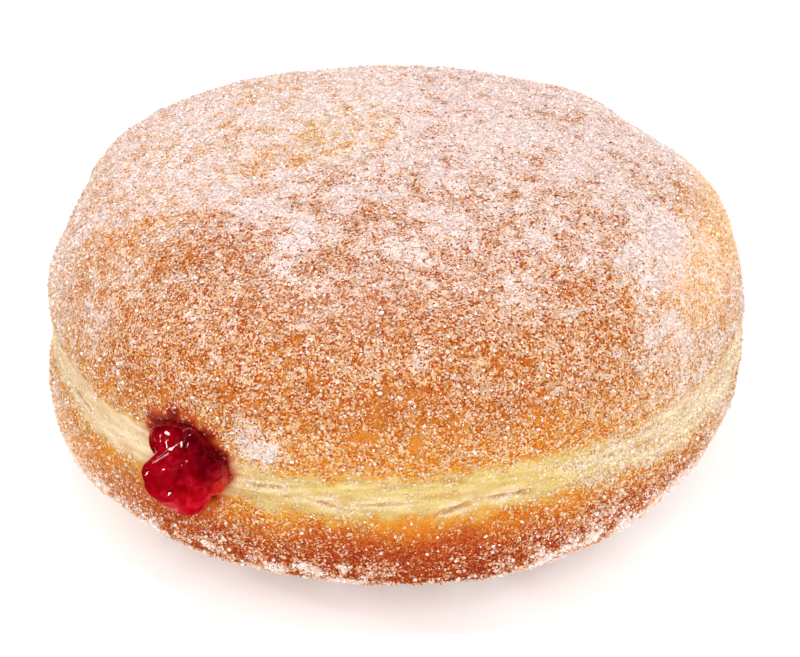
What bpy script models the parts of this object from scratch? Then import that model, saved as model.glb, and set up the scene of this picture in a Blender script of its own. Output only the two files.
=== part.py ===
"""A jelly filled doughnut: a fried yeast bun with a blob of jelly pushing out of its side.

Two solids. The dough is a low, full bun with a softly three-sided outline, a flat patch
underneath that it rests on, and a hole in its side that opens into a pocket. The jelly fills the
pocket and the hole, and swells into a lobed bead outside. Azimuths are in degrees about +Z from
+X, and the front, where the jelly shows, looks along -Y.
"""

from math import atan2, cos, exp, pi, radians, sin

import bmesh
import bpy
from mathutils import Vector

# Bun, in metres. The waist is the level of the bun's widest outline and of its pale band.
RADIUS = 0.046
CROWN_HEIGHT = 0.0282  # waist to top
BELLY_DEPTH = 0.0203  # waist to the lowest point that the belly's curve would reach
CROWN_FULLNESS = 2.8  # 2 is an ellipse, and more is fuller at the shoulder
BELLY_FULLNESS = 3.3
FULLNESS_BLEND = 0.25  # share of the height on each side of the waist where the two blend
REST_RADIUS = 0.022  # the flat patch underneath

# Slow waves round the outline: (lobes, height as a share of the radius, azimuth of a lobe).
OUTLINE_WAVES = ((2, 0.023, 7.0), (3, 0.011, 17.0), (5, 0.004, 13.0))
# More of them on the crown and on the belly alone, growing from nothing at the waist. A wave of
# one lobe leans that half towards the lobe.
CROWN_WAVES = ((1, 0.029, 180.0), (3, 0.010, 18.0), (4, 0.015, 40.0), (5, 0.010, -1.0))
BELLY_WAVES = ((1, 0.038, -148.0), (2, 0.011, -69.0), (3, 0.022, -58.0))
# Soft dents, and swellings below zero: (azimuth, latitude, reach in degrees, depth).
DENTS = (
    (166.0, 25.0, 7.0, 0.0013),
    (178.0, 14.0, 9.0, -0.0006),
    (152.0, 38.0, 9.0, -0.0009),
    (48.0, 43.0, 7.0, -0.0008),
    (31.0, 42.0, 6.0, 0.0007),
    (14.0, 30.0, 8.0, -0.0006),
    (-128.0, -37.0, 12.0, -0.0005),
    (-155.0, -30.0, 7.0, -0.0005),
    (-50.0, -25.0, 14.0, 0.0003),
)

# Jelly, in metres: a lens-shaped pocket and a round channel along a level line from the bun's middle,
# and a bead outside. Places on the bead are (side, rise, out) from the middle of the hole.
JELLY_AZIMUTH = -126.0
POCKET_REACH = 0.024
POCKET_HALF_WIDTH = 0.021
POCKET_HALF_HEIGHT = 0.0075
CHANNEL_RADIUS = 0.0042
CHANNEL_END = 0.037  # from here outward the rings open into the bead
JOIN_POWER = 5.0  # how crisply the pocket and the channel meet
HOLE_MIDDLE = 0.0462  # distance of the hole's middle from the bun's
BEAD_CENTRE = (0.0012, 0.0018, 0.0018)
BEAD_BLEND = 14.0  # how crisply the bead's lobes meet
# The bead's lobes are tapered rods with round ends: (one end, other end, radius there and there).
BEAD_LOBES = (
    ((0.0015, 0.0046, 0.0002), (0.0015, 0.0046, 0.0002), 0.00285, 0.00285),
    ((-0.0018, 0.0046, 0.0004), (-0.0009, 0.0049, 0.0006), 0.0026, 0.0026),
    ((-0.0010, 0.0051, 0.0017), (-0.0006, 0.0048, 0.0022), 0.00165, 0.0016),
    ((0.0012, 0.0049, 0.0002), (-0.0001, 0.0033, 0.0058), 0.0022, 0.00135),
    ((0.0001, 0.0024, 0.0052), (0.0009, 0.0012, 0.0042), 0.00175, 0.0024),
    ((-0.0003, 0.0009, 0.0041), (0.0006, 0.0022, 0.0045), 0.0022, 0.0021),
    ((0.0006, -0.0006, 0.0030), (0.0006, -0.0006, 0.0030), 0.0024, 0.0024),
    ((0.0021, -0.0012, 0.0016), (0.0024, 0.0019, 0.0016), 0.0031, 0.0029),
    ((0.0039, 0.0018, 0.0000), (0.0051, 0.0009, 0.0001), 0.0031, 0.0019),
)
LOBE_BALLS = 9  # each rod is reckoned as this many balls in a row
MERGE_FROM = 2.2  # radians off the line outward: between these two the bead runs into the channel
MERGE_TO = 2.75
GAP = 0.0003  # all round between jelly and dough

BUN_STEPS = 90  # round the bun
BUN_ROWS = 26  # from the rest patch to the top
JELLY_STEPS = 32  # round the jelly's line
POCKET_ROWS = 12  # along the pocket and the channel
BEAD_ROWS = 24  # from the channel to the bead's tip


def smooth_step(value):
    value = min(max(value, 0.0), 1.0)
    return value * value * (3.0 - 2.0 * value)


def waves(azimuth, terms):
    """The sum of cosine waves round a circle, at an azimuth in radians."""
    return sum(size * cos(lobes * (azimuth - radians(lobe_at))) for lobes, size, lobe_at in terms)


def dent_depth(azimuth, latitude):
    """How far the surface sinks there: each dent is a bell curve of the angle to its middle."""
    depth = 0.0
    for dent_azimuth, dent_latitude, reach, most in DENTS:
        level = radians(dent_latitude)
        cosine = sin(latitude) * sin(level) + cos(latitude) * cos(level) * cos(
            azimuth - radians(dent_azimuth)
        )
        chord_squared = 2.0 - 2.0 * cosine
        depth += most * exp(-chord_squared / radians(reach) ** 2)
    return depth


def rest_level():
    """How far below the waist the belly's curve narrows to the rest patch."""
    share = (REST_RADIUS / RADIUS) ** BELLY_FULLNESS
    return BELLY_DEPTH * (1.0 - share) ** (1.0 / BELLY_FULLNESS)


def bun_point(azimuth, latitude):
    """A point of the bun: a superellipse of revolution, pushed about by the waves and dents."""
    fullness = BELLY_FULLNESS + (CROWN_FULLNESS - BELLY_FULLNESS) * smooth_step(
        (sin(latitude) + FULLNESS_BLEND) / (2.0 * FULLNESS_BLEND)
    )
    length = (abs(cos(latitude)) ** fullness + abs(sin(latitude)) ** fullness) ** (1.0 / fullness)
    out = cos(latitude) / length
    up = sin(latitude) / length
    radius = RADIUS * out * (1.0 + waves(azimuth, OUTLINE_WAVES))
    radius *= 1.0 + waves(azimuth, CROWN_WAVES) * max(up, 0.0)
    radius *= 1.0 + waves(azimuth, BELLY_WAVES) * max(-up, 0.0)
    radius -= dent_depth(azimuth, latitude)
    height = up * (CROWN_HEIGHT if up > 0.0 else BELLY_DEPTH)
    return (
        radius * cos(azimuth),
        radius * sin(azimuth),
        max(height + rest_level(), 0.0),
    )


def rest_latitude():
    """The latitude at which the belly meets the rest patch."""
    return -atan2(rest_level() / BELLY_DEPTH, REST_RADIUS / RADIUS)


def jelly_point(side, rise, along):
    """A point beside, above and along the jelly's line."""
    line = radians(JELLY_AZIMUTH)
    return Vector(
        (
            along * cos(line) - side * sin(line),
            along * sin(line) + side * cos(line),
            rest_level() + rise,
        )
    )


def pocket_ring(along, grow):
    """One ring round the pocket and the channel, larger by grow."""
    pocket = max(0.0, 1.0 - (along / (POCKET_REACH + grow)) ** 2) ** 0.5
    channel = CHANNEL_RADIUS + grow if along > 0.0 else 0.0
    width = (pocket * (POCKET_HALF_WIDTH + grow)) ** JOIN_POWER + channel**JOIN_POWER
    height = (pocket * (POCKET_HALF_HEIGHT + grow)) ** JOIN_POWER + channel**JOIN_POWER
    width **= 1.0 / JOIN_POWER
    height **= 1.0 / JOIN_POWER
    angles = [2.0 * pi * step / JELLY_STEPS for step in range(JELLY_STEPS)]
    return [jelly_point(width * cos(angle), height * sin(angle), along) for angle in angles]


def reach_through(ray, middle, radius):
    """How far along a ray from the origin it leaves a ball; 0 if it misses the ball."""
    near = ray.dot(middle)
    room = near**2 - middle.length_squared + radius**2
    return max(0.0, near + room**0.5) if room > 0.0 else 0.0


def bead_reach(ray, grow):
    """The smooth union of the lobes, seen from the bead's centre."""
    total = 0.0
    for start, end, start_radius, end_radius in BEAD_LOBES:
        farthest = 0.0
        for ball in range(LOBE_BALLS):
            share = ball / (LOBE_BALLS - 1)
            middle = Vector(start).lerp(Vector(end), share) - Vector(BEAD_CENTRE)
            radius = start_radius + (end_radius - start_radius) * share + grow
            farthest = max(farthest, reach_through(ray, middle, radius))
        total += farthest**BEAD_BLEND
    return total ** (1.0 / BEAD_BLEND)


def bead_point(polar, turn, grow):
    """A point of the bead by its angle off the line outward and its turn round the line."""
    ray = Vector((sin(polar) * cos(turn), sin(polar) * sin(turn), cos(polar)))
    merge = smooth_step((polar - MERGE_FROM) / (MERGE_TO - MERGE_FROM))
    reach = bead_reach(ray, grow) * (1.0 - merge)
    if merge > 0.0:
        reach += (CHANNEL_RADIUS + grow) / sin(polar) * merge
    side, rise, out = BEAD_CENTRE
    place = Vector((side * (1.0 - merge), rise * (1.0 - merge), out)) + ray * reach
    return jelly_point(place.x, place.y, HOLE_MIDDLE + place.z)


def loft(name, rings, first_point, last_point):
    """A closed mesh object through rings of points. Each end closes at a point, or flat if None."""
    shape = bmesh.new()
    loops = [[shape.verts.new(point) for point in ring] for ring in rings]
    count = len(rings[0])
    for low, high in zip(loops, loops[1:]):
        for step in range(count):
            after = (step + 1) % count
            shape.faces.new((low[step], low[after], high[after], high[step]))
    for loop, point, turn in ((loops[0], first_point, -1), (loops[-1], last_point, 1)):
        if point is None:
            shape.faces.new(loop[::turn])
            continue
        pole = shape.verts.new(point)
        for step in range(count):
            corners = (loop[step], loop[(step + 1) % count], pole)
            shape.faces.new(corners[::turn])
    bmesh.ops.recalc_face_normals(shape, faces=shape.faces)
    mesh = bpy.data.meshes.new(name)
    shape.to_mesh(mesh)
    shape.free()
    piece = bpy.data.objects.new(name, mesh)
    bpy.context.scene.collection.objects.link(piece)
    return piece


def make_bun():
    low = rest_latitude()
    rings = []
    for row in range(BUN_ROWS):
        latitude = low + (pi / 2.0 - low) * row / BUN_ROWS
        rings.append(
            [bun_point(2.0 * pi * step / BUN_STEPS, latitude) for step in range(BUN_STEPS)]
        )
    return loft("dough", rings, None, bun_point(0.0, pi / 2.0))


def make_jelly(name, grow):
    """The jelly, or the hole for it when grow is the gap."""
    back = -POCKET_REACH - grow
    rings = []
    for row in range(1, POCKET_ROWS + 1):
        along = CHANNEL_END - (CHANNEL_END - back) * cos(0.5 * pi * row / POCKET_ROWS)
        rings.append(pocket_ring(along, grow))
    for row in range(BEAD_ROWS):
        polar = MERGE_TO * (1.0 - row / BEAD_ROWS)
        turns = [2.0 * pi * step / JELLY_STEPS for step in range(JELLY_STEPS)]
        rings.append([bead_point(polar, turn, grow) for turn in turns])
    return loft(name, rings, jelly_point(0.0, 0.0, back), bead_point(0.0, 0.0, grow))


def open_hole(dough):
    """Takes the jelly's shape, a gap larger all round, out of the dough."""
    cutter = make_jelly("hole_cutter", GAP)
    cutter.hide_render = True
    cutter.display_type = "WIRE"
    cut = dough.modifiers.new("hole", "BOOLEAN")
    cut.operation = "DIFFERENCE"
    cut.solver = "EXACT"
    cut.object = cutter


def finish(piece, colour, roughness, sharp_from=60.0):
    """Gives a piece its material and smooth shading."""
    material = bpy.data.materials.new(piece.name)
    material.use_nodes = True
    shader = material.node_tree.nodes["Principled BSDF"]
    shader.inputs["Base Color"].default_value = (*colour, 1.0)
    shader.inputs["Roughness"].default_value = roughness
    shader.inputs["Metallic"].default_value = 0.0
    material.diffuse_color = (*colour, 1.0)
    piece.data.materials.append(material)
    piece.data.shade_smooth()
    piece.data.set_sharp_from_angle(angle=radians(sharp_from))


def main():
    for old in list(bpy.data.objects):
        bpy.data.objects.remove(old)
    dough = make_bun()
    finish(dough, colour=(0.62, 0.26, 0.06), roughness=0.6)
    open_hole(dough)
    jelly = make_jelly("jelly", 0.0)
    finish(jelly, colour=(0.42, 0.005, 0.015), roughness=0.08)


main()
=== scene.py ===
# Looks of a jelly filled doughnut: the sugared fried bun and the bead of jelly in its side.
import math
import bpy
import numpy as np
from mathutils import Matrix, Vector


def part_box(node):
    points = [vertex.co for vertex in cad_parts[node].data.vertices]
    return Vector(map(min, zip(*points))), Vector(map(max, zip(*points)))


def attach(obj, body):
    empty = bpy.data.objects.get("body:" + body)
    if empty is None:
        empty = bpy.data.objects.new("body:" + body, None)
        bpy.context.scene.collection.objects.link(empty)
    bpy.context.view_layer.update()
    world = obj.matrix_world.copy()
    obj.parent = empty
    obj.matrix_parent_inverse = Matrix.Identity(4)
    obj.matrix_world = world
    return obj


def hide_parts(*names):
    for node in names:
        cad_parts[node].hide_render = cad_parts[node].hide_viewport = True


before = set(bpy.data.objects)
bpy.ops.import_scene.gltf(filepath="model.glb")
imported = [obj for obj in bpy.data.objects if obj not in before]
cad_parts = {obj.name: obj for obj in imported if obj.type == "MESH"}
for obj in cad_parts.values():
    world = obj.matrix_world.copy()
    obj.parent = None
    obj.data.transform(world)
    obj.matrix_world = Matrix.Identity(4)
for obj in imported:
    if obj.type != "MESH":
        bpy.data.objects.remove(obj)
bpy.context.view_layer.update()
mm = 0.001


def hexToLinear(code):
    # sRGB hex to linear light: the standard curve, channel by channel
    coded = np.array([int(code[i : i + 2], 16) for i in (1, 3, 5)]) / 255.0
    return np.where(coded <= 0.04045, coded / 12.92, ((coded + 0.055) / 1.055) ** 2.4)


def ramp(x, low, high):
    # smooth step: 0 below low, 1 above high, 3t^2 - 2t^3 between
    t = np.clip((x - low) / (high - low), 0.0, 1.0)
    return t * t * (3.0 - 2.0 * t)


def mix(a, b, share):
    # a where share is 0, b where it is 1
    return a + (b - a) * share


cubeEdges = np.array(  # the middles of a cube's twelve edges, the slopes that latticeNoise picks from
    [(x, y, 0) for x in (-1, 1) for y in (-1, 1)]
    + [(x, 0, z) for x in (-1, 1) for z in (-1, 1)]
    + [(0, y, z) for y in (-1, 1) for z in (-1, 1)],
    float,
)


def latticeNoise(points, cell, seed):
    # gradient noise: each lattice corner has a hashed direction, faded with 6t^5 - 15t^4 + 10t^3
    base = np.floor(points / cell)
    inside = points / cell - base
    fade = inside * inside * inside * (inside * (inside * 6.0 - 15.0) + 10.0)
    base = base.astype(np.int64)
    total = np.zeros(len(points))
    for corner in range(8):
        step = np.array([corner & 1, corner >> 1 & 1, corner >> 2 & 1])
        x, y, z = (base + step).T
        mixed = (x * 73856093) ^ (y * 19349663) ^ (z * 83492791) ^ (seed * 2654435761)
        mixed = (mixed ^ (mixed >> 15)) * 2246822519 & 0xFFFFFFFF
        mixed = (mixed ^ (mixed >> 13)) * 3266489917 & 0xFFFFFFFF
        slope = cubeEdges[(mixed ^ (mixed >> 16)) % 12]
        weight = np.prod(np.where(step == 1, fade, 1.0 - fade), axis=1)
        total += weight * (slope * (inside - step)).sum(1)
    return total


def layeredNoise(points, cell, seed, layers=3):
    # a sum of noises, each half as large and half as strong as the last
    return sum(latticeNoise(points, cell / 2**i, seed + i) / 2**i for i in range(layers))


def waves(azimuth, terms):
    # the sum of size * cos(lobes * (azimuth - lobe's azimuth))
    return sum(size * np.cos(n * (azimuth - math.radians(at))) for n, size, at in terms)


def meshObject(name, points, quads, smooth=True):
    # quads is a list of index arrays, each with 3 or 4 columns
    mesh = bpy.data.meshes.new(name)
    corners = np.concatenate([q.ravel() for q in quads])
    sizes = np.concatenate([np.full(len(q), q.shape[1]) for q in quads])
    mesh.vertices.add(len(points))
    mesh.vertices.foreach_set("co", np.asarray(points, np.float32).ravel())
    mesh.loops.add(len(corners))
    mesh.loops.foreach_set("vertex_index", corners.astype(np.int32))
    mesh.polygons.add(len(sizes))
    starts = np.concatenate([[0], np.cumsum(sizes)[:-1]])
    mesh.polygons.foreach_set("loop_start", starts.astype(np.int32))
    mesh.polygons.foreach_set("use_smooth", np.full(len(sizes), smooth))
    mesh.update(calc_edges=True)
    piece = bpy.data.objects.new(name, mesh)
    bpy.context.scene.collection.objects.link(piece)
    return piece


def gridFaces(rows, columns):
    # quads between rings of points: ring by ring, closed round each ring
    i, j = np.meshgrid(np.arange(rows - 1), np.arange(columns), indexing="ij")
    after = (j + 1) % columns
    quad = [i * columns + j, i * columns + after, (i + 1) * columns + after, (i + 1) * columns + j]
    return np.stack([q.ravel() for q in quad], 1)


def fanFaces(first, columns, pole, upward):
    # triangles from one ring to its pole
    j = np.arange(columns)
    ring = [first + j, first + (j + 1) % columns]
    corners = ring + [np.full(columns, pole)] if upward else ring[::-1] + [np.full(columns, pole)]
    return np.stack(corners, 1)


def addColour(piece, name, colours):
    # linear colours, one for each point
    layer = piece.data.attributes.new(name, "FLOAT_COLOR", "POINT")
    rgba = np.ones((len(colours), 4), np.float32)
    rgba[:, :3] = colours
    layer.data.foreach_set("color", rgba.ravel())


def addNumber(piece, name, values):
    # numbers, one for each point
    layer = piece.data.attributes.new(name, "FLOAT", "POINT")
    layer.data.foreach_set("value", np.asarray(values, np.float32))


def addNode(tree, kind, links=(), **settings):
    # one node: settings by name are its own, {"inputs"} sets sockets, links are (socket, source socket)
    node = tree.nodes.new(kind)
    values = settings.pop("inputs", {})
    for name, value in settings.items():
        setattr(node, name, value)
    for socket, value in values.items():
        node.inputs[socket].default_value = value
    for socket, source in links:
        tree.links.new(source, node.inputs[socket])
    return node


def newMaterial(name):
    # a material, its node tree and its shader
    material = bpy.data.materials.new(name)
    material.use_nodes = True
    tree = material.node_tree
    return material, tree, tree.nodes["Principled BSDF"]


# The bun's form, in mm and degrees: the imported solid's, to the frame's scale. Waves are (lobes, size,
# azimuth of a lobe), and dents are (azimuth, latitude, reach, depth).
bun = {
    "radius": 46.0,
    "crownHeight": 28.2,
    "bellyDepth": 20.3,
    "crownFullness": 2.8,
    "bellyFullness": 3.3,
    "restRadius": 22.0,
    "outlineWaves": ((2, 0.023, 7.0), (3, 0.011, 17.0), (5, 0.004, 13.0)),
    "crownWaves": ((1, 0.029, 180.0), (3, 0.010, 18.0), (4, 0.015, 40.0), (5, 0.010, -1.0)),
    "bellyWaves": ((1, 0.038, -148.0), (2, 0.011, -69.0), (3, 0.022, -58.0)),
    "dents": (
        (166.0, 25.0, 7.0, 1.3),
        (178.0, 14.0, 9.0, -0.6),
        (152.0, 38.0, 9.0, -0.9),
        (48.0, 43.0, 7.0, -0.8),
        (31.0, 42.0, 6.0, 0.7),
        (14.0, 30.0, 8.0, -0.6),
        (-128.0, -37.0, 12.0, -0.5),
        (-155.0, -30.0, 7.0, -0.5),
        (-50.0, -25.0, 14.0, 0.3),
    ),
    "steps": 440,
    "rows": 208,
    "restRings": 4,
}
restShare = (bun["restRadius"] / bun["radius"]) ** bun["bellyFullness"]
restLevel = bun["bellyDepth"] * (1.0 - restShare) ** (1.0 / bun["bellyFullness"])
bun["scale"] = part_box("dough")[1][2] / (bun["crownHeight"] + restLevel)  # metres to a millimetre here
jellyLine = math.radians(-126.0)


def towards(azimuth, latitude):
    # the unit vector at an azimuth and a latitude
    return np.stack(
        [np.cos(latitude) * np.cos(azimuth), np.cos(latitude) * np.sin(azimuth), np.sin(latitude)], -1
    )


def bunSurface(azimuth, latitude):
    # a superellipse of revolution, |r|^n + |z|^n = 1, with waves round it and bell-shaped dents
    blend = ramp(np.sin(latitude), -0.25, 0.25)
    n = bun["bellyFullness"] + (bun["crownFullness"] - bun["bellyFullness"]) * blend
    length = (np.abs(np.cos(latitude)) ** n + np.abs(np.sin(latitude)) ** n) ** (1.0 / n)
    out = np.cos(latitude) / length
    up = np.sin(latitude) / length
    radius = bun["radius"] * out * (1.0 + waves(azimuth, bun["outlineWaves"]))
    radius = radius * (1.0 + waves(azimuth, bun["crownWaves"]) * np.maximum(up, 0.0))
    radius = radius * (1.0 + waves(azimuth, bun["bellyWaves"]) * np.maximum(-up, 0.0))
    here = towards(azimuth, latitude)
    for at, level, reach, depth in bun["dents"]:
        gap = 2.0 - 2.0 * here @ towards(math.radians(at), math.radians(level))
        radius = radius - depth * np.exp(-gap / math.radians(reach) ** 2)
    height = up * np.where(up > 0.0, bun["crownHeight"], bun["bellyDepth"]) + restLevel
    return np.stack([radius * np.cos(azimuth), radius * np.sin(azimuth), np.maximum(height, 0.0)], -1)


def bunRows():
    # latitudes from the rest patch to just under the top, at even steps along the profile
    low = -math.atan2(restLevel / bun["bellyDepth"], bun["restRadius"] / bun["radius"])
    fine = np.linspace(low, math.pi / 2, 4000)
    profile = bunSurface(np.full_like(fine, -math.pi / 2), fine)
    closer = 1.0 + 1.6 * np.exp(-(((profile[1:, 2] - 20.5) / 5.5) ** 4))  # rows lie closer on the band
    run = np.concatenate([[0], np.cumsum(closer * np.linalg.norm(np.diff(profile, axis=0), axis=1))])
    return np.interp(np.linspace(0, run[-1], bun["rows"] + 1)[:-1], run, fine)


# The jelly, in mm. Places on the bead are (side, rise, out) from the middle of the hole.
jelly = {
    "pocketReach": 24.0,
    "pocketHalfWidth": 21.0,
    "pocketHalfHeight": 7.5,
    "channelRadius": 4.2,
    "channelEnd": 37.0,
    "beadMiddle": 46.2,
    "beadCentre": (1.2, 1.8, 1.8),  # the point that the bead's rays start from
    "blend": 14.0,
    "rodSteps": 50,
    "flatWay": (0.257, 0.886, 0.387),  # the way that the flat spots on top face
    "steps": 280,
    "pocketRows": 70,
    "beadRows": 230,
}
lobes = {  # the rods and balls that make the bead: both ends, and the radii there
    "root": ((1.5, 4.6, 0.2), (1.5, 4.6, 0.2), 2.85, 2.85),
    "neck": ((-1.8, 4.6, 0.4), (-0.9, 4.9, 0.6), 2.6, 2.6),
    "star": ((-1.0, 5.1, 1.7), (-0.6, 4.75, 2.2), 1.65, 1.6),
    "tongue": ((1.24, 4.85, 0.15), (-0.1, 3.3, 5.75), 2.2, 1.35),
    "cheek": ((0.1, 2.4, 5.2), (0.9, 1.2, 4.2), 1.75, 2.4),
    "left": ((-0.3, 0.9, 4.1), (0.6, 2.2, 4.5), 2.2, 2.1),
    "lowerLeft": ((0.65, -0.55, 2.95), (0.65, -0.55, 2.95), 2.4, 2.4),
    "bottom": ((2.1, -1.2, 1.6), (2.4, 1.9, 1.6), 3.1, 2.9),
    "right": ((3.9, 1.8, 0.0), (5.1, 0.9, 0.1), 3.1, 1.9),
}


def beadGap(points):
    # how far each point is from the bead, as the least of its distances from the rods, and how far beside
    # the middle of the hole it is
    out = points[:, 0] * math.cos(jellyLine) + points[:, 1] * math.sin(jellyLine) - jelly["beadMiddle"]
    side = points[:, 1] * math.cos(jellyLine) - points[:, 0] * math.sin(jellyLine)
    here = np.stack([side, points[:, 2] - restLevel, out], 1)
    gap = np.full(len(points), 99.0)
    for start, end, startRadius, endRadius in lobes.values():
        axis = np.subtract(end, start)
        share = np.clip((here - start) @ axis / max(axis @ axis, 1e-9), 0, 1)
        away = np.linalg.norm(here - start - share[:, None] * axis, axis=1)
        gap = np.minimum(gap, away - startRadius - share * (endRadius - startRadius))
    return gap, side


# The fields over the bun take points in mm and azimuths in degrees.
band = {"level": 21.3, "halfHeight": 3.0, "edge": 1.6, "wander": 1.0}  # the pale band, in mm
bandBends = ((-98, 9, -0.9), (-145, 14, 0.2), (-33, 14, -0.9))  # (azimuth, reach, rise of its middle)


def bandShare(points, azimuth):
    # 1 in the pale band, falling to 0 over its soft edges, with a wandering middle
    middle = band["level"] + band["wander"] * latticeNoise(points * (1, 1, 0.2), 17.0, 5)
    for at, reach, rise in bandBends:
        middle = middle + rise * np.exp(-(((azimuth - at) / reach) ** 2))
    ragged = 1.3 * layeredNoise(points, 3.5, 7, 3)
    away = np.abs(points[:, 2] - middle) + ragged
    away = away - 0.7 * ramp(-azimuth, 125, 155) - 0.6 * ramp(azimuth, -55, -35)  # wider at the sides
    return 1.0 - ramp(away, band["halfHeight"] - band["edge"], band["halfHeight"] + band["edge"])


creases = (  # (azimuth, z) at the ends, depth and half width in mm
    ((-117, 20.6), (-106, 21.4), 0.14, 0.20),
    ((-106, 20.6), (-97, 18.4), 0.17, 0.20),
    ((-99, 19.3), (-86, 20.0), 0.12, 0.16),
    ((-84, 18.0), (-77, 19.6), 0.17, 0.20),
    ((-77, 19.8), (-67, 19.6), 0.17, 0.20),
    ((-62, 21.8), (-48, 21.0), 0.13, 0.22),
    ((-160, 21.5), (-147, 20.0), 0.13, 0.25),
)


def creaseShares(points, azimuth):
    # how deep each point lies in a crease, in mm, and how near it is to one: bell-shaped across a bent line
    around = np.radians(azimuth) * bun["radius"]
    deep, near = np.zeros((2, len(points)))
    bent = 0.5 * latticeNoise(points, 2.5, 61)
    for (fromAzimuth, fromZ), (toAzimuth, toZ), depth, halfWidth in creases:
        start = np.array([math.radians(fromAzimuth) * bun["radius"], fromZ])
        end = np.array([math.radians(toAzimuth) * bun["radius"], toZ])
        here = np.stack([around, points[:, 2]], 1) - start
        along = np.clip(here @ (end - start) / ((end - start) @ (end - start)), 0.0, 1.0)
        away = np.linalg.norm(here - along[:, None] * (end - start), axis=1) + bent
        fade = np.sin(math.pi * np.clip(along, 0.02, 0.98)) ** 0.5
        deep = np.maximum(deep, depth * fade * np.exp(-((away / halfWidth) ** 2)))
        near = np.maximum(near, fade * np.exp(-(((away - 0.45) / 0.4) ** 2)))
    return deep, near


patches = (  # (x, y, z) in mm, reach in mm, change of the sugar's cover
    ((-26, 14, 47), 5, 0.10),
    ((-6, 17, 47), 6, 0.08),
    ((-17, 20, 46), 5, -0.14),
    ((-10, 2, 48), 6, -0.18),
    ((-19, -4, 47), 5, -0.12),
    ((-10, -4, 48), 4, -0.12),
    ((-38, -23, 38), 5, 0.10),
    ((41, -19, 33), 6, -0.15),
    ((16, 1, 48), 5, 0.08),
    ((37, 10, 42), 6, 0.20),
    ((40, 3, 39), 5, -0.10),
    ((28, 20, 43), 6, 0.15),
    ((-26, -6, 46), 4, 0.14),
    ((-21, -11, 46), 4, 0.08),
    ((-18, -15, 47), 4, 0.20),
    ((-12, -21, 46), 4, 0.22),
    ((-28, -22, 44), 6, -0.10),
    ((-36, -14, 42), 6, -0.14),
    ((-43, -13, 38), 5, -0.22),
    ((6, -19, 46), 4, 0.16),
    ((5, -26, 45), 4, 0.10),
    ((0, -27, 45), 5, 0.10),
    ((-3, -21, 46), 4, -0.14),
    ((13, -14, 47), 5, -0.08),
    ((19, -12, 47), 5, -0.10),
    ((27, -15, 46), 4, -0.20),
    ((24, -8, 47), 5, 0.12),
    ((36, -12, 42), 5, 0.36),
    ((34, -19, 42), 4, 0.32),
    ((42, -20, 36), 4, -0.10),
    ((-15, -28, 44), 3, 0.12),
    ((19, -26, 45), 5, 0.13),
    ((8, -33, 42), 4, 0.08),
    ((28, -36, 15), 5, 0.20),
    ((-19, -41, 27.5), 2.6, 0.50),
    ((-15.5, -42, 26), 2.4, 0.40),
    ((8, -43, 11), 2.5, 0.35),
    ((18, -40, 12), 3, 0.35),
    ((-20, -39, 13), 3.5, 0.30),
    ((3, -44, 12), 4, -0.30),
    ((9, -44, 17), 3.5, -0.15),
    ((4, -42, 8), 4, -0.20),
    ((14, -42, 10), 3.5, -0.25),
    ((28, -27, 40), 5, -0.12),
    ((0, -38, 36), 6, -0.07),
    ((1, -43, 28), 5, -0.08),
    ((26, -38, 14), 5, 0.16),
    ((41, 0, 36), 6, -0.14),
    ((-11, -42, 11), 4, 0.20),
    ((22, -37, 11), 4, 0.22),
    ((43, -16, 15), 5, 0.20),
    ((-39, -23, 32), 4, 0.18),
    ((-43, -16, 31), 4, -0.20),
    ((22, -39, 35), 4, 0.15),
    ((18, -31, 43), 4, 0.14),
)


sugarCoat = {  # the share of the surface under sugar, by place
    "crown": 0.82,
    "shoulder": 0.70,
    "frontShoulder": (0.38, 0.48),  # low and high on it
    "moreAtRight": 0.12,
    "band": 0.22,
    "rightBand": 0.44,
    "frontBand": 0.14,
    "belly": 0.58,
    "frontBelly": 0.20,
    "moreAtRim": 0.50,
    "moreInCreases": 0.12,
}


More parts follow.
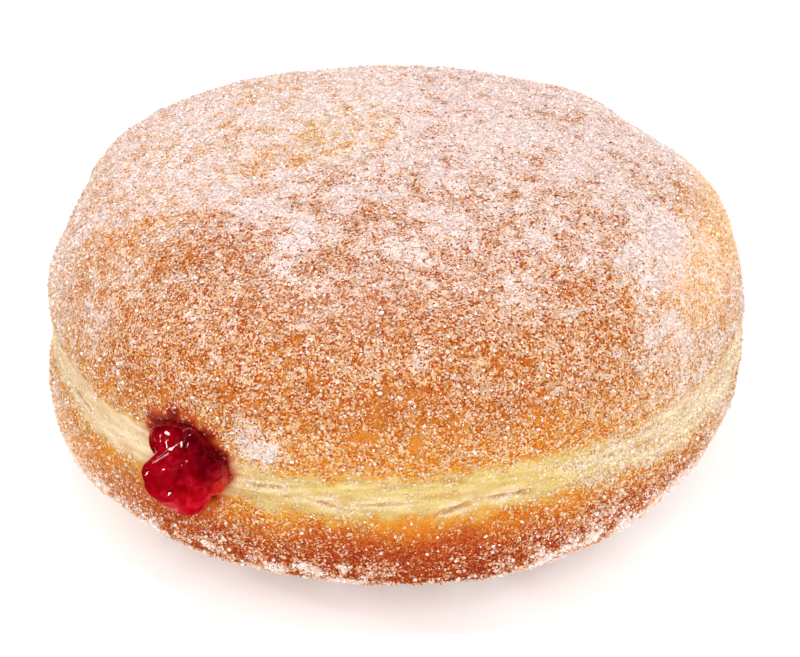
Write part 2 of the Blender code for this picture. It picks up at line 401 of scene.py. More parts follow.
def sugarCover(points, azimuth):
    # the share of the surface under sugar, 0 to 1: full on the crown, thin at the front and on the band,
    # changed by the patches and by noise, and rubbed off round the jelly
    coat = sugarCoat
    z = points[:, 2]
    front = ramp(np.cos(np.radians(azimuth + 98)), 0.35, 0.80)
    shoulder = mix(coat["shoulder"], mix(*coat["frontShoulder"], ramp(z, 30, 38)), front)
    crown = 1.0 - ramp(np.hypot(points[:, 0], points[:, 1] - 12.0), 10.0, 56.0)
    right = ramp(azimuth, -62, -40) * (1.0 - ramp(azimuth, -30, -16))
    shoulder = shoulder + coat["moreAtRight"] * right * (1.0 - ramp(z, 32, 40)) * ramp(z, 22, 26)
    cover = mix(shoulder, coat["crown"], crown)
    bare = bandShare(points, azimuth)
    onBand = mix(coat["band"], coat["rightBand"], ramp(azimuth, -80, -45))
    onBand = mix(onBand, coat["frontBand"], ramp(np.cos(np.radians(azimuth + 112)), 0.45, 0.8))
    cover = mix(cover, onBand, bare)
    belly = 1.0 - ramp(z, 16.0, 19.0)
    cover = mix(cover, mix(coat["belly"], coat["frontBelly"], front), belly)
    rim = (1.0 - ramp(z, 7.0, 13.5)) * (0.85 + 2.2 * layeredNoise(points, 3.0, 21, 3))
    rim = rim * (1.0 - 0.45 * np.exp(-(((azimuth + 84) / 6) ** 2)))  # a gap in the rim's sugar
    cover = cover + coat["moreAtRim"] * rim
    warped = points + 2.2 * np.stack([layeredNoise(points, 5.0, 80 + i, 3) for i in range(3)], 1)
    for at, reach, change in patches:
        away = ((warped - np.array(at)) ** 2).sum(1)
        cover = cover + change * np.exp(-away / reach**2)
    flat = points * (1, 1, 3.2)  # streaks run round the bun
    uneven = 0.20 * layeredNoise(points, 4.0, 31, 2) + 0.26 * layeredNoise(flat, 1.8, 37, 2)
    cover = cover + mix(1.0, 0.35, bare) * uneven
    cover = cover + coat["moreInCreases"] * bare * creaseShares(points, azimuth)[1]
    gap, side = beadGap(points)
    gap = gap + 1.2 * layeredNoise(points, 2.0, 47, 2)
    above = ramp(z, 18, 26)
    # round the jelly sugar melts, and beside it on the left it didn't stick
    wet = 1 - ramp(gap, 0.4 + 0.6 * above, 1.4 + 0.6 * above)
    smooth = ramp(-side, 2.0, 5.0) * (1 - ramp(gap, 4.0, 8.0)) * ramp(z, 15, 19) * (1 - ramp(z, 23, 26))
    return np.clip(cover * (1.0 - 0.95 * wet) * (1.0 - 0.8 * smooth), 0.0, 1.0)


crust = {  # the fried colours, as sRGB hex
    "crown": "#B46A34",
    "front": "#BC6C28",
    "aboveBand": "#D08428",
    "shoulderLeft": "#CE8842",
    "shoulderRight": "#E0A658",
    "bandFront": "#CFB26E",
    "bandLeft": "#E2C69C",
    "bandRight": "#DEC698",
    "underBand": "#D2801E",
    "belly": "#B04C10",
    "bellyDark": "#A03C0C",
    "bellyLeft": "#DA9C52",
    "yellow": "#D0A04C",
    "stain": "#C83E14",
    # the crease colour is painted shade, laid along the creases in the band
    "crease": "#A86A28",
    "creaseEdge": "#F4E2C0",
    "bandEdge": "#D29A3C",
    "soaked": "#7C1208",
}
crustColour = {name: hexToLinear(code) for name, code in crust.items()}


def crustTintAndCreaseShade(points, azimuth):
    # fried colour by height: amber crown, golden above the band, cream band, brown belly, and painted shade,
    # a darker brown, along the creases in the band
    z = points[:, 2]
    c = crustColour
    blotch = layeredNoise(points, 8.0, 41, 3)
    tint = mix(c["front"][None], c["crown"][None], ramp(z, 36, 45)[:, None])
    tint = mix(tint, c["shoulderLeft"], (ramp(-azimuth, 135, 165) * ramp(z, 22, 28))[:, None])
    tint = mix(tint, c["shoulderRight"], (ramp(azimuth, -50, -20) * (1 - ramp(z, 36, 44)))[:, None])
    tint = mix(tint, c["aboveBand"], (1 - ramp(z + 2 * blotch, 25, 33))[:, None])
    belly = mix(c["belly"][None], c["bellyLeft"], ramp(-azimuth, 125, 160)[:, None])
    dark = np.exp(-(((azimuth + 82) / 26) ** 2)) * (1 - ramp(z, 9, 16))
    belly = mix(belly, c["bellyDark"], np.clip(dark + 0.5 * blotch, 0, 1)[:, None])
    belly = mix(belly, c["underBand"], ramp(z + 2 * blotch, 12.5, 18)[:, None])
    tint = mix(tint, belly, (1 - ramp(z, 18, 22))[:, None])
    pale = mix(c["bandFront"][None], c["bandLeft"], ramp(-azimuth, 105, 135)[:, None])
    pale = mix(pale, c["bandRight"], ramp(azimuth, -65, -38)[:, None])
    streaks = layeredNoise(points * (0.25, 0.25, 1.6), 1.2, 43, 2)
    pale = pale * (1.0 + 0.34 * streaks[:, None] * (0.6, 1.0, 1.6))
    share = bandShare(points, azimuth)
    tint = mix(tint, c["bandEdge"], 0.8 * ramp(share, 0.0, 0.5)[:, None])
    tint = mix(tint, pale, ramp(share, 0.4, 0.95)[:, None])
    deep, near = creaseShares(points, azimuth)
    tint = mix(tint, c["creaseEdge"], 0.55 * (near * share)[:, None])
    # painted shade: a darker brown along each crease's own line
    tint = mix(tint, c["crease"], np.clip(4.5 * deep, 0, 0.7)[:, None])
    yellow = np.exp(-(((points - (-9, 4, 48)) ** 2).sum(1)) / 8.0**2)
    tint = mix(tint, c["yellow"], 0.7 * yellow[:, None])
    gap, side = beadGap(points)
    gap = gap + 1.6 * layeredNoise(points, 2.2, 45, 3)
    above = ramp(z, 18, 26)
    halo = 1 - ramp(gap, mix(0.2, 0.8, above), mix(1.2, 2.6, above))
    tint = mix(tint, c["stain"], (0.85 * halo)[:, None])
    return mix(tint, c["soaked"], (1 - ramp(gap, mix(-0.4, 0.3, above), mix(0.5, 1.6, above)))[:, None])


sugarWhite = hexToLinear("#F6E5E4")


def sugarTint(under, cover, clearness=1.0):
    # clear crystals let the crust through: white times a power of the crust's colour, less where thick
    power = mix(0.26, 0.04, ramp(cover, 0.4, 0.92)) * clearness
    return sugarWhite * under ** power[:, None]


def relief(points, azimuth):
    # height added to the smooth form, in mm: noise of three sizes for puffs and pitting, and on the band a
    # hollow, level wrinkles and the creases
    high = 0.30 * latticeNoise(points, 13.0, 51) + 0.16 * latticeNoise(points, 5.0, 52)
    high = high + 0.08 * latticeNoise(points, 2.2, 53)
    bare = bandShare(points, azimuth)
    high = high - 0.45 * bare
    wrinkled = points * (0.45, 0.45, 2.6)
    high = high + 0.16 * bare * layeredNoise(wrinkled, 2.2, 57, 2)
    return high - creaseShares(points, azimuth)[0]


def wrapped(azimuth):
    # degrees from -270 to 90, so that the front has no seam
    return (np.degrees(azimuth) + 270.0) % 360.0 - 270.0


mouth = {"out": 46.3, "level": 20.6, "reach": 4.6, "depth": 3.0}  # the hollow under the bead, in mm


def makeBun():
    # the bun's surface on a grid of azimuths and latitudes, raised by the relief along its normals, which
    # are the cross products of its two slopes, and closed underneath by rings that shrink to a point
    rows = bunRows()
    steps = np.linspace(0, 2 * math.pi, bun["steps"], endpoint=False)
    azimuth, latitude = np.meshgrid(steps, rows, indexing="xy")
    azimuth, latitude = azimuth.ravel(), latitude.ravel()
    top = bunSurface(np.array([0.0]), np.array([math.pi / 2]))
    points = np.concatenate([bunSurface(azimuth, latitude), top])
    azimuth = np.append(azimuth, 0.0)
    delta = 1e-3
    ahead = bunSurface(azimuth[:-1] + delta, latitude) - bunSurface(azimuth[:-1] - delta, latitude)
    above = bunSurface(azimuth[:-1], latitude + delta) - bunSurface(azimuth[:-1], latitude - delta)
    normal = np.cross(ahead, above)
    normal /= np.linalg.norm(normal, axis=1, keepdims=True) + 1e-12
    normal = np.concatenate([normal, [[0, 0, 1]]])
    degrees = wrapped(azimuth)
    lift = relief(points, degrees) * ramp(points[:, 2], 0.0, 3.0)
    level = np.array([math.cos(jellyLine), math.sin(jellyLine), 0.0])
    middle = mouth["out"] * level + (0.0, 0.0, mouth["level"])
    hollow = np.exp(-((((points - middle) ** 2).sum(1) / mouth["reach"] ** 2) ** 2))
    points = points + normal * (lift - mouth["depth"] * hollow)[:, None]
    points[:, 2] = np.maximum(points[:, 2], 0.0)
    count = bun["steps"]
    side = bun["rows"] * count
    faces = [gridFaces(bun["rows"], count), fanFaces(side - count, count, side, True)]
    rings = []
    previous = np.arange(count)
    for ring in range(1, bun["restRings"]):
        share = 1.0 - ring / bun["restRings"]
        rings.append(points[:count] * (share, share, 0.0))
        now = len(points) + (ring - 1) * count + np.arange(count)
        faces.append(np.stack([previous, now, np.roll(now, -1), np.roll(previous, -1)], 1))
        previous = now
    pole = len(points) + (bun["restRings"] - 1) * count
    faces.append(np.stack([np.roll(previous, -1), previous, np.full(count, pole)], 1))
    every = np.concatenate([points, *rings, [[0.0, 0.0, 0.0]]])
    piece = meshObject("dough_skin", every * bun["scale"], faces)
    return piece, every, wrapped(np.arctan2(every[:, 1], every[:, 0]))


crustSkin = {"cell": 0.23, "fleck": 1.1, "mottle": 1.11, "bump": 0.12}  # sizes and the bump's height in mm


def crustMaterial():
    # Fried yeast dough: a thin crisp crust with a faint gloss of fat, under a dusting of sugar cells the
    # size of a fine crystal, each with its own tone, so that it reads as crystals and not as a wash.
    material, tree, shader = newMaterial("fried dough crust, sugar dusted")
    place = addNode(tree, "ShaderNodeTexCoord").outputs["Object"]
    under = addNode(tree, "ShaderNodeAttribute", attribute_name="crustTintAndCreaseShade").outputs["Color"]
    over = addNode(tree, "ShaderNodeAttribute", attribute_name="sugarTint").outputs["Color"]
    film = addNode(tree, "ShaderNodeAttribute", attribute_name="sugarFilm").outputs["Fac"]
    scale = {name: 1 / (size * mm) for name, size in crustSkin.items()}
    cells = addNode(tree, "ShaderNodeTexVoronoi", [("Vector", place)], inputs={"Scale": scale["cell"]})
    number = addNode(tree, "ShaderNodeSeparateColor", [(0, cells.outputs["Color"])]).outputs
    flecks = addNode(tree, "ShaderNodeTexNoise", [("Vector", place)], inputs={"Scale": scale["fleck"]})
    uneven = addNode(
        tree, "ShaderNodeMapRange", [("Value", flecks.outputs["Fac"])],
        inputs={"From Min": 0.3, "From Max": 0.7, "To Min": -0.28, "To Max": 0.28},
    )
    local = addNode(tree, "ShaderNodeMath", [(0, film), (1, uneven.outputs[0])], operation="ADD").outputs[0]
    lit = addNode(tree, "ShaderNodeMath", [(0, number[0]), (1, local)], operation="LESS_THAN").outputs[0]
    mottle = addNode(
        tree, "ShaderNodeTexNoise", [("Vector", place)], inputs={"Scale": scale["mottle"], "Detail": 2.0}
    )
    # bare crust: each cell takes its own power of the colour, deep red brown to light orange; the darkest
    # cells, strong only where sugar lies, are painted shade between the crystals
    depth = addNode(
        tree, "ShaderNodeMapRange", [("Value", number[1])], inputs={"To Min": -0.40, "To Max": 0.85}
    )
    speck = addNode(tree, "ShaderNodeAttribute", attribute_name="speckleAndGapShade")
    power = addNode(
        tree, "ShaderNodeMath", [(0, depth.outputs[0]), (1, speck.outputs["Fac"])],
        inputs={2: 1.0}, operation="MULTIPLY_ADD",
    )
    bare = addNode(tree, "ShaderNodeGamma", [("Color", under), ("Gamma", power.outputs[0])])
    shine = addNode(
        tree, "ShaderNodeMapRange", [("Value", number[2])], inputs={"To Min": 0.66, "To Max": 1.10}
    )
    white = addNode(tree, "ShaderNodeVectorMath", [(0, over), (3, shine.outputs[0])], operation="SCALE")
    colour = addNode(
        tree, "ShaderNodeMix", [(0, lit), (6, bare.outputs[0]), (7, white.outputs[0])], data_type="RGBA"
    )
    tree.links.new(colour.outputs[2], shader.inputs["Base Color"])
    rough = addNode(tree, "ShaderNodeMapRange", [("Value", lit)], inputs={"To Min": 0.45, "To Max": 0.6})
    tree.links.new(rough.outputs[0], shader.inputs["Roughness"])
    dome = addNode(
        tree, "ShaderNodeMath", [(1, cells.outputs["Distance"])], inputs={0: 1.0}, operation="SUBTRACT"
    )
    grain = addNode(tree, "ShaderNodeMath", [(0, lit), (1, dome.outputs[0])], operation="MULTIPLY")
    height = addNode(
        tree, "ShaderNodeMath", [(0, mottle.outputs["Fac"]), (2, grain.outputs[0])],
        inputs={1: 0.3}, operation="MULTIPLY_ADD",
    )
    bump = addNode(
        tree, "ShaderNodeBump", [("Height", height.outputs[0])],
        inputs={"Strength": 0.8, "Distance": crustSkin["bump"] * mm},
    )
    tree.links.new(bump.outputs[0], shader.inputs["Normal"])
    shader.inputs["IOR"].default_value = 1.45
    shader.inputs["Specular IOR Level"].default_value = 0.2
    return material


print("bun")
dough, doughPoints, doughAzimuth = makeBun()
cover = sugarCover(doughPoints, doughAzimuth)
under = crustTintAndCreaseShade(doughPoints, doughAzimuth)
addColour(dough, "crustTintAndCreaseShade", under)
addColour(dough, "sugarTint", sugarTint(under, cover))
onBelly = 1 - ramp(doughPoints[:, 2], 12, 18)
# the film is the share of cells drawn white: the cover where that is thick, less where thin and on the belly
film = np.clip(1.08 * cover**1.3, 0, 1) * (1 - 0.5 * onBelly)
addNumber(dough, "sugarFilm", film)
# the crust's cells differ in colour where it is sugared and on the belly, and hardly where it is clean: a
# random tone, and painted shade in the gaps between the crystals
addNumber(dough, "speckleAndGapShade", mix(0.1, 1.0, np.maximum(ramp(film, 0.0, 0.35), 0.75 * onBelly)))
dough.data.materials.append(crustMaterial())
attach(dough, "root")
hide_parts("dough")


def trianglesOf(piece):
    # the corners of a piece's triangles
    mesh = piece.data
    mesh.calc_loop_triangles()
    tris = np.empty(len(mesh.loop_triangles) * 3, np.int32)
    mesh.loop_triangles.foreach_get("vertices", tris)
    return tris.reshape(-1, 3)


def measured(points, tris):
    # each triangle's area, outward normal and middle
    a, b, c = (points[tris[:, i]] for i in range(3))
    cross = np.cross(b - a, c - a)
    areas = 0.5 * np.linalg.norm(cross, axis=1)
    return areas, cross / (2 * areas[:, None] + 1e-12), (a + b + c) / 3


doughTris = trianglesOf(dough)
doughAreas, doughNormals, triMiddles = measured(doughPoints, doughTris)
triCover = cover[doughTris].mean(1)
triTint = under[doughTris].mean(1)

cube = (  # corners in sizes, and faces
    np.array([(x, y, z) for x in (-1, 1) for y in (-1, 1) for z in (-1, 1)]) / 2,
    np.array([(0, 1, 3, 2), (4, 6, 7, 5), (0, 4, 5, 1), (2, 3, 7, 6), (0, 2, 6, 4), (1, 5, 7, 3)]),
)
gem = (
    np.array([(1, 0, 0), (-1, 0, 0), (0, 1, 0), (0, -1, 0), (0, 0, 1), (0, 0, -1)]) * 0.7,
    np.array([(0, 2, 4), (2, 1, 4), (1, 3, 4), (3, 0, 4), (2, 0, 5), (1, 2, 5), (3, 1, 5), (0, 3, 5)]),
)
chip = (
    np.array([(1, 1, 1), (1, -1, -1), (-1, 1, -1), (-1, -1, 1)]) / 2,
    np.array([(0, 1, 2), (0, 3, 1), (0, 2, 3), (1, 3, 2)]),
)

sugarKinds = {  # form, size in mm, how many, how high it sits as a share of its size
    "sugar_coarse": {"form": cube, "size": (0.30, 0.44), "count": 16600, "lift": (0.10, 0.45)},
    "sugar_medium": {"form": cube, "size": (0.22, 0.32), "count": 16600, "lift": (0.05, 0.40)},
    "sugar_fine": {"form": gem, "size": (0.20, 0.29), "count": 24900, "lift": (0.0, 0.35)},
    "sugar_broken": {"form": chip, "size": (0.27, 0.38), "count": 49900, "lift": (0.0, 0.35)},
    "sugar_dust": {"form": chip, "size": (0.20, 0.29), "count": 49900, "lift": (0.0, 0.30)},
}
grainTone = {"least": (0.72, 0.98), "spread": (0.42, 0.16), "most": 0.97}  # on dark and on pale crust


def turns(count, rng):
    # random rotations as matrices, from unit quaternions
    quaternions = rng.normal(size=(4, count))
    w, x, y, z = quaternions / np.linalg.norm(quaternions, axis=0)
    return np.stack(
        [
            np.stack([1 - 2 * (y * y + z * z), 2 * (x * y - z * w), 2 * (x * z + y * w)], 1),
            np.stack([2 * (x * y + z * w), 1 - 2 * (x * x + z * z), 2 * (y * z - x * w)], 1),
            np.stack([2 * (x * z - y * w), 2 * (y * z + x * w), 1 - 2 * (x * x + y * y)], 1),
        ],
        1,
    )


def grainColoursAndBellyLight(chosen, rng):
    # the sugar's tint on the crust below, nearer to the crust's own where that is pale, times a random tone,
    # and a little brighter low down, as painted light against the shade on the belly
    tint = sugarTint(triTint[chosen], triCover[chosen], rng.uniform(0.0, 1.8, len(chosen)) ** 1.3)
    pale = ramp(triTint[chosen].mean(1), 0.30, 0.45)
    tint = mix(tint, np.minimum(1.4 * triTint[chosen], 1), (0.5 * pale)[:, None])
    # painted light: grains low on the belly are made brighter, to make up for the shade that falls there
    low = 1 - ramp(triMiddles[chosen, 2], 8, 18)
    tone = mix(*grainTone["least"], pale) + mix(*grainTone["spread"], pale) * rng.random(len(chosen))
    return np.minimum(tint * (tone * (1 + 0.22 * low))[:, None], grainTone["most"])


def addGrainMap(piece, corners, index):
    # a map with a square of its own for each grain, on which no face is seen edge on
    count = len(index)
    across = math.ceil(math.sqrt(count))
    skewed = corners[:, :2] + corners[:, 2:] * (0.50, 0.37)
    skewed = 0.12 + 0.76 * (skewed - skewed.min(0)) / np.ptp(skewed, axis=0)
    square = np.stack([np.arange(count) % across, np.arange(count) // across], 1)
    place = (square[:, None] + skewed[None]) / across
    layer = piece.data.uv_layers.new(name="OFBake")
    layer.uv.foreach_set("vector", place.reshape(-1, 2)[index.ravel()].astype(np.float32).ravel())


def scatter(name, kind, seed):
    # crystals set at random on the bun: each triangle gets its share by its area times -log(1 - cover), the
    # number that would cover it by chance, and more in clumps and on the belly
    rng = np.random.default_rng(seed)
    corners, faces = kind["form"]
    count = kind["count"]
    want = -np.log(1.0 - 0.93 * triCover) * doughAreas * ramp(triMiddles[:, 2], 0.0, 0.6)
    clump = 1.0 + latticeNoise(triMiddles, 1.2, 71 + seed)
    want = want * np.clip(clump, 0.05, 3) * (1 + 0.9 * (1 - ramp(triMiddles[:, 2], 9, 18)))
    chosen = rng.choice(len(want), count, p=want / want.sum())
    s, t = rng.random((2, count))
    flip = s + t > 1
    s, t = np.where(flip, 1 - s, s), np.where(flip, 1 - t, t)
    a, b, c = (doughPoints[doughTris[chosen, i]] for i in range(3))
    middle = a + (b - a) * s[:, None] + (c - a) * t[:, None]
    size = rng.uniform(*kind["size"], count)
    lift = rng.uniform(*kind["lift"], count) * size
    aspect = rng.uniform(0.65, 1.0, (count, 3))
    local = corners[None] * (aspect * size[:, None])[:, None, :]
    local = local + rng.normal(0, 0.04, local.shape) * size[:, None, None]
    placed = np.einsum("nij,nkj->nki", turns(count, rng), local)
    placed = placed + (middle + doughNormals[chosen] * lift[:, None])[:, None, :]
    placed[..., 2] = np.maximum(placed[..., 2], 0.02)
    index = faces[None] + (np.arange(count) * len(corners))[:, None, None]
    points = placed.reshape(-1, 3) * bun["scale"]
    piece = meshObject(name, points, [index.reshape(-1, faces.shape[1])], smooth=False)
    addColour(piece, "grainTintAndBellyLight", np.repeat(grainColoursAndBellyLight(chosen, rng), len(corners), axis=0))
    addGrainMap(piece, corners, index)
    return piece


def sugarMaterial():
    # Granulated sugar: small clear to white crystals with flat bright faces, each a little cloudy in
    # places, so that neighbouring grains don't look cut from one block.
    material, tree, shader = newMaterial("granulated sugar crystals")
    place = addNode(tree, "ShaderNodeTexCoord").outputs["Object"]
    tint = addNode(tree, "ShaderNodeAttribute", attribute_name="grainTintAndBellyLight").outputs["Color"]
    cloud = addNode(tree, "ShaderNodeTexNoise", [("Vector", place)], inputs={"Scale": 1 / (0.18 * mm)})
    clear = addNode(
        tree, "ShaderNodeMapRange", [("Value", cloud.outputs["Fac"])],
        inputs={"From Min": 0.3, "From Max": 0.7, "To Min": 0.90, "To Max": 1.08},
    )
    colour = addNode(tree, "ShaderNodeVectorMath", [(0, tint), (3, clear.outputs[0])], operation="SCALE")
    tree.links.new(colour.outputs[0], shader.inputs["Base Color"])
    shader.inputs["Roughness"].default_value = 0.3
    shader.inputs["IOR"].default_value = 1.54
    return material


print("sugar")
sugarLook = sugarMaterial()
for seed, (name, kind) in enumerate(sugarKinds.items()):
    grains = scatter(name, kind, seed)
    grains.data.materials.append(sugarLook)
    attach(grains, "root")


folds = (  # thin ridges on the bead: from and towards, height, half width
    ((-2.7, 6.0, 2.4), (-1.8, 5.1, 2.8), 0.20, 0.30),
    ((4.4, 5.8, 0.9), (6.5, 3.8, 0.4), 0.35, 0.45),
    ((3.4, 4.3, 3.6), (3.7, 1.6, 3.9), 0.22, 0.45),
)
flatSpots = (  # small flat places on the bead: towards, turn in their plane, half length, half width, lift
    ((1.0, 5.8, 3.6), 137.0, 2.9, 0.19, 0.0),
    ((0.6, 5.0, 5.0), 140.0, 1.3, 0.12, 0.0),
    ((-0.4, 6.6, 2.3), 20.0, 0.25, 0.28, 0.0),
    ((0.0, 6.3, 3.2), 85.0, 0.60, 0.14, 0.0),
    ((2.1, 6.6, 2.6), 95.0, 0.40, 0.20, 0.0),
    ((2.8, 6.6, 2.2), 95.0, 0.40, 0.15, 0.0),
    ((-2.2, 6.0, 2.9), 70.0, 0.40, 0.12, 0.0),
    ((-1.6, 5.7, 3.3), 125.0, 0.35, 0.12, 0.0),
    ((1.5, 4.0, 5.7), 0.0, 0.05, 0.22, 0.0),
    ((2.5, 0.7, 5.6), 117.0, 0.50, 0.20, 0.45),
    ((0.0, 3.7, 7.4), 120.0, 0.50, 0.15, 0.0),
)
deepRedsAndHoleShade = {  # (side, rise, out) and reach of each deep red, and how much of it: partly the thick jelly's own deeper red, partly painted shade near the hole
    "deep": ((3.1, 7.0, 1.1), 2.3, 1.0),
    "deepRight": ((5.2, 4.4, 1.2), 2.5, 1.0),
    "deepEdge": ((6.6, 2.5, 1.4), 1.6, 0.5),
    "deepNeck": ((0.3, 7.3, 0.6), 1.5, 0.9),
    "deepMiddle": ((3.2, 4.3, 3.8), 1.8, 0.45),
    "deepStar": ((-1.8, 7.0, 0.8), 1.7, 0.85),
    "deepLeft": ((-2.6, 0.8, 4.6), 0.9, 0.8),
}
thinGlowsPainted = {  # the same for the lighter reds painted where light would come through the thin jelly, a painted glow
    "rim": ((7.0, 0.4, 0.4), 1.7, 0.5),
    "edge": ((1.2, -2.9, 4.4), 1.5, 0.4),
}
# body is the jelly's own red; low, rim and edge are lighter reds painted as light coming through; deep is
# partly thick jelly, partly painted shade
jellyColours = {"body": "#8E0310", "low": "#AC081A", "deep": "#520007", "rim": "#D0301C", "edge": "#E08080"}


def throughLobes(ray):
    # how far each ray from the bead's centre reaches through each rod, taken as a row of balls, and of these
    # a smooth maximum: the root of the sum of their powers
    total = np.zeros(len(ray))
    for start, end, startRadius, endRadius in lobes.values():
        reach = np.zeros(len(ray))
        for share in np.linspace(0, 1, jelly["rodSteps"] if start != end else 1):
            off = np.array(start) + share * np.subtract(end, start) - jelly["beadCentre"]
            radius = startRadius + share * (endRadius - startRadius)
            near = ray @ off
            room = np.maximum(near**2 - off @ off + radius**2, 0)
            reach = np.maximum(reach, np.where(room > 0, near + np.sqrt(room), 0.0))
        total += reach ** jelly["blend"]
    return total ** (1 / jelly["blend"])


def beadForm(polar, turn):
    # each ray's length: the lobes, with bell-shaped ridges along the folds, a fine unevenness and small flat
    # spots, running into the round channel far from the line outward
    ray = np.stack([np.sin(polar) * np.cos(turn), np.sin(polar) * np.sin(turn), np.cos(polar)], -1)
    centre = np.array(jelly["beadCentre"])
    inward = ramp(polar, 2.2, 2.75)
    base = throughLobes(ray)
    skin = centre + ray * base[:, None]
    length = base + 0.07 * latticeNoise(skin, 2.4, 91)
    for start, end, height, halfWidth in folds:
        a, b = (np.array(p) - centre for p in (start, end))
        a, b = a / np.linalg.norm(a), b / np.linalg.norm(b)
        share = np.clip((ray - a) @ (b - a) / ((b - a) @ (b - a) + 1e-9), 0, 1)
        away = np.linalg.norm(ray - a - share[:, None] * (b - a), axis=1) * base
        length = length + height * np.exp(-((away / halfWidth) ** 2))
    face = np.array(jelly["flatWay"])
    across = np.array([face[2], 0.0, -face[0]]) / math.hypot(face[0], face[2])
    down = np.cross(across, face)
    facing = ray @ face
    for place, turned, halfLength, halfWidth, lift in flatSpots:
        way = np.subtract(place, centre) / np.linalg.norm(np.subtract(place, centre))
        middle = way * throughLobes(way[None])[0]
        flat = (middle @ face + lift) / np.maximum(facing, 0.05)
        off = ray * flat[:, None] - middle
        bearing = math.radians(turned)
        x, y = off @ across, off @ down
        along = x * math.cos(bearing) + y * math.sin(bearing)
        beside = y * math.cos(bearing) - x * math.sin(bearing)
        away = np.hypot(np.maximum(np.abs(along) - halfLength, 0), beside) / halfWidth
        length = mix(length, flat, np.exp(-(away**4) / 4) * (facing > 0.05))
    channel = jelly["channelRadius"] / np.maximum(np.sin(polar), 0.2)
    length = mix(length, channel, inward)
    return centre * (1 - inward[:, None] * (1, 1, 0)) + ray * length[:, None]


def placeJelly(along, side, rise):
    # a point from its distance along the jelly's level line, beside it and above it
    return np.stack(
        [
            along * math.cos(jellyLine) - side * math.sin(jellyLine),
            along * math.sin(jellyLine) + side * math.cos(jellyLine),
            restLevel + rise,
        ],
        -1,
    )


def makeJelly():
    # rings round a level line: a lens-shaped pocket and a round channel, then the bead by its rays
    j = jelly
    bend = np.linspace(0, math.pi / 2, j["pocketRows"] + 1)[1:]
    along = j["channelEnd"] - (j["channelEnd"] + j["pocketReach"]) * np.cos(bend)
    pocket = np.sqrt(np.maximum(0, 1 - (along / j["pocketReach"]) ** 2))
    channel = (along > 0) * j["channelRadius"]
    width = ((pocket * j["pocketHalfWidth"]) ** 5 + channel**5) ** 0.2
    height = ((pocket * j["pocketHalfHeight"]) ** 5 + channel**5) ** 0.2
    turn = np.linspace(0, 2 * math.pi, j["steps"], endpoint=False)
    side = (width[:, None] * np.cos(turn)).ravel()
    rise = (height[:, None] * np.sin(turn)).ravel()
    inner = placeJelly(np.repeat(along, j["steps"]), side, rise)
    polar = np.linspace(2.75, 0, j["beadRows"] + 1)[:-1]
    bead = beadForm(np.repeat(polar, j["steps"]), np.tile(turn, j["beadRows"]))
    tip = beadForm(np.zeros(1), np.zeros(1))
    local = np.concatenate([bead, tip])
    outer = placeJelly(j["beadMiddle"] + local[:, 2], local[:, 0], local[:, 1])
    back = placeJelly(np.array([-j["pocketReach"]]), np.zeros(1), np.zeros(1))
    every = np.concatenate([inner, outer, back])
    count, rows = j["steps"], len(along) + j["beadRows"]
    faces = [
        gridFaces(rows, count),
        fanFaces(0, count, rows * count + 1, False),
        fanFaces((rows - 1) * count, count, rows * count, True),
    ]
    hidden = np.stack([side, rise, np.full(len(side), -9.0)], 1)  # too far back for any spot of the tint
    piece = meshObject("jelly_bead", every * bun["scale"], faces)
    return piece, np.concatenate([hidden, local, hidden[:1]])


def jellyTintWithPaintedLight(local):
    # clear crimson where thin, maroon where thick, and lighter low down: the lighter reds are a painted glow
    # of light coming through, and the maroon by the hole is partly painted shade; bell-shaped shares about
    # the named places
    colour = {name: hexToLinear(code) for name, code in jellyColours.items()}
    squeezed = local * (1.3, 0.7, 1.3)
    warped = local + 0.8 * np.stack([layeredNoise(squeezed, 2.0, 95 + i, 2) for i in range(3)], 1)
    # painted glow: the lower part is made a lighter crimson, as if lit through
    low = 1 - ramp(warped[:, 1], -1.2, 1.6)
    tint = mix(colour["body"], colour["low"], low[:, None])
    deep = np.zeros(len(local))
    for at, reach, share in deepRedsAndHoleShade.values():
        deep = np.maximum(deep, share * np.exp(-((((warped - at) ** 2).sum(1)) / reach**2) ** 1.5))
    tint = mix(tint, colour["deep"], deep[:, None])
    for name, (at, reach, share) in thinGlowsPainted.items():
        near = np.exp(-(((local - at) ** 2).sum(1)) / reach**2)
        tint = mix(tint, colour[name], share * near[:, None])
    return tint


def jellyMaterial():
    # Set fruit jelly: wet, smooth and clear red, darker where it is thick, with faint streaks of pulp; its
    # tint also holds a painted glow where light would come through and painted shade near the hole.
    material, tree, shader = newMaterial("set red fruit jelly, wet")
    place = addNode(tree, "ShaderNodeTexCoord").outputs["Object"]
    red = addNode(tree, "ShaderNodeAttribute", attribute_name="jellyTintWithPaintedLight").outputs["Color"]
    pulp = addNode(
        tree, "ShaderNodeTexNoise", [("Vector", place)],
        inputs={"Scale": 1 / (1.6 * mm), "Detail": 3.0, "Distortion": 1.2},
    )
    power = addNode(
        tree, "ShaderNodeMapRange", [("Value", pulp.outputs["Fac"])],
        inputs={"From Min": 0.3, "From Max": 0.7, "To Min": 0.75, "To Max": 1.3},
    )
    colour = addNode(tree, "ShaderNodeGamma", [("Color", red), ("Gamma", power.outputs[0])])
    tree.links.new(colour.outputs[0], shader.inputs["Base Color"])
    shader.inputs["Roughness"].default_value = 0.07
    shader.inputs["IOR"].default_value = 1.40
    shader.inputs["Specular IOR Level"].default_value = 0.5
    return material


print("jelly")
blob, blobLocal = makeJelly()
addColour(blob, "jellyTintWithPaintedLight", jellyTintWithPaintedLight(blobLocal))
blob.data.materials.append(jellyMaterial())
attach(blob, "root")
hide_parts("jelly")


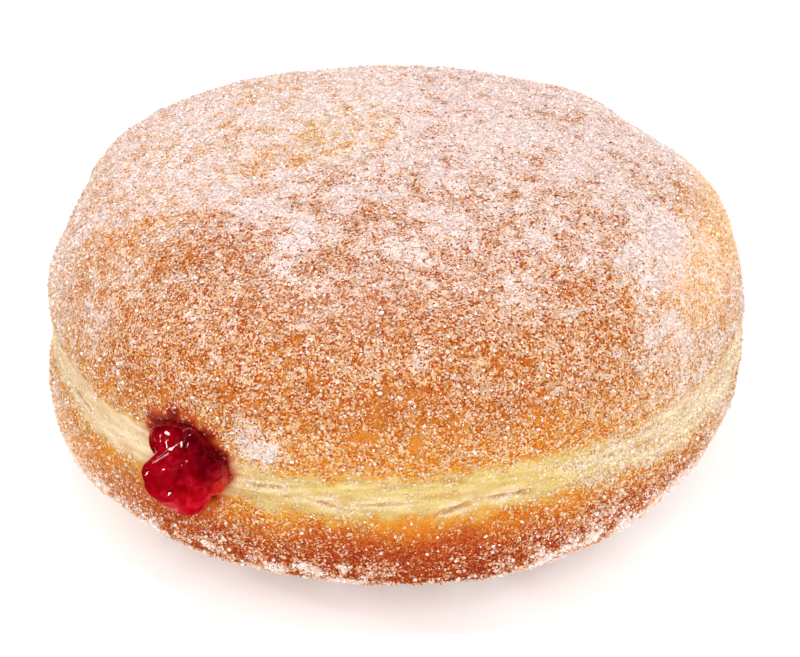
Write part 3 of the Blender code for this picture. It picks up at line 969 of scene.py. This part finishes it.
view = {  # degrees, bun radii, mm of lens, and the aim's shift in mm
    "elevation": 30.0,
    "distance": 12.0,
    "lens": 183.06,
    "aimRight": 0.57,
    "aimUp": -0.2,
}
room = {"light": 0.75, "floorHalf": 3.0, "floorWhite": 0.97, "floorGlow": 0.29}  # half a side in m
lamps = {  # where, in m, how wide, in m, and watts
    "key": ((-0.12, 0.05, 1.1), 0.25, 6.0),
    "fill": ((0.40, -1.1, 0.75), 2.0, 8.9),
    "side": ((-0.95, 0.0, 0.52), 0.09, 0.9),
}


def makeFloor():
    # one wide square
    corners = room["floorHalf"] * np.array([(-1, -1, 0), (1, -1, 0), (1, 1, 0), (-1, 1, 0)])
    floor = meshObject("floor", corners, [np.array([[0, 1, 2, 3]])], smooth=False)
    # Matt white paper: it spreads light evenly, and a faint glow of its own keeps it white at the edges.
    material, _, shader = newMaterial("matt white paper")
    shader.inputs["Base Color"].default_value = (*[room["floorWhite"]] * 3, 1)
    shader.inputs["Roughness"].default_value = 0.9
    shader.inputs["Specular IOR Level"].default_value = 0.0
    shader.inputs["Emission Color"].default_value = (1, 1, 1, 1)
    shader.inputs["Emission Strength"].default_value = room["floorGlow"]
    floor.data.materials.append(material)
    floor.visible_glossy = False


def areaLight(name, place, size, power):
    # a round lamp that faces the bun
    lamp = bpy.data.lights.new(name, "AREA")
    lamp.shape = "DISK"
    lamp.size = size
    lamp.energy = power
    holder = bpy.data.objects.new(name, lamp)
    bpy.context.scene.collection.objects.link(holder)
    holder.location = place
    holder.rotation_euler = directionTo(np.subtract((0, 0, 0.02), place))
    holder.visible_glossy = size < 1.0  # the wide lamp is soft room light: it leaves no veil on the jelly


def directionTo(aim):
    # turns -Z onto aim, keeping +Y up
    flat = math.hypot(aim[0], aim[1])
    return (math.atan2(flat, -aim[2]), 0.0, math.atan2(-aim[0], aim[1]))


def makeCamera():
    # looks along +Y, turned down by the elevation, at the bun's waist
    lens = bpy.data.cameras.new("camera")
    lens.lens = view["lens"]
    lens.sensor_width = 36.0
    lens.dof.use_dof = False
    camera = bpy.data.objects.new("camera", lens)
    bpy.context.scene.collection.objects.link(camera)
    tilt = math.radians(view["elevation"])
    back = np.array([0, -math.cos(tilt), math.sin(tilt)])
    up = np.array([0, math.sin(tilt), math.cos(tilt)])
    aim = np.array([view["aimRight"], 0, restLevel]) + view["aimUp"] * up
    place = (aim + back * view["distance"] * bun["radius"]) * bun["scale"]
    camera.location = place
    camera.rotation_euler = (math.pi / 2 - tilt, 0, 0)
    bpy.context.scene.camera = camera


print("stage")
makeFloor()
makeCamera()
world = bpy.data.worlds.new("soft white room")
bpy.context.scene.world = world
world.cycles_visibility.glossy = False  # only the lamps are mirrored in the wet jelly, so it stays clear
world.use_nodes = True
world.node_tree.nodes["Background"].inputs[0].default_value = (1.0, 1.0, 1.0, 1)
world.node_tree.nodes["Background"].inputs[1].default_value = room["light"]
for name, (place, size, power) in lamps.items():
    areaLight(name, place, size, power)
bpy.context.scene.view_settings.view_transform = "Standard"
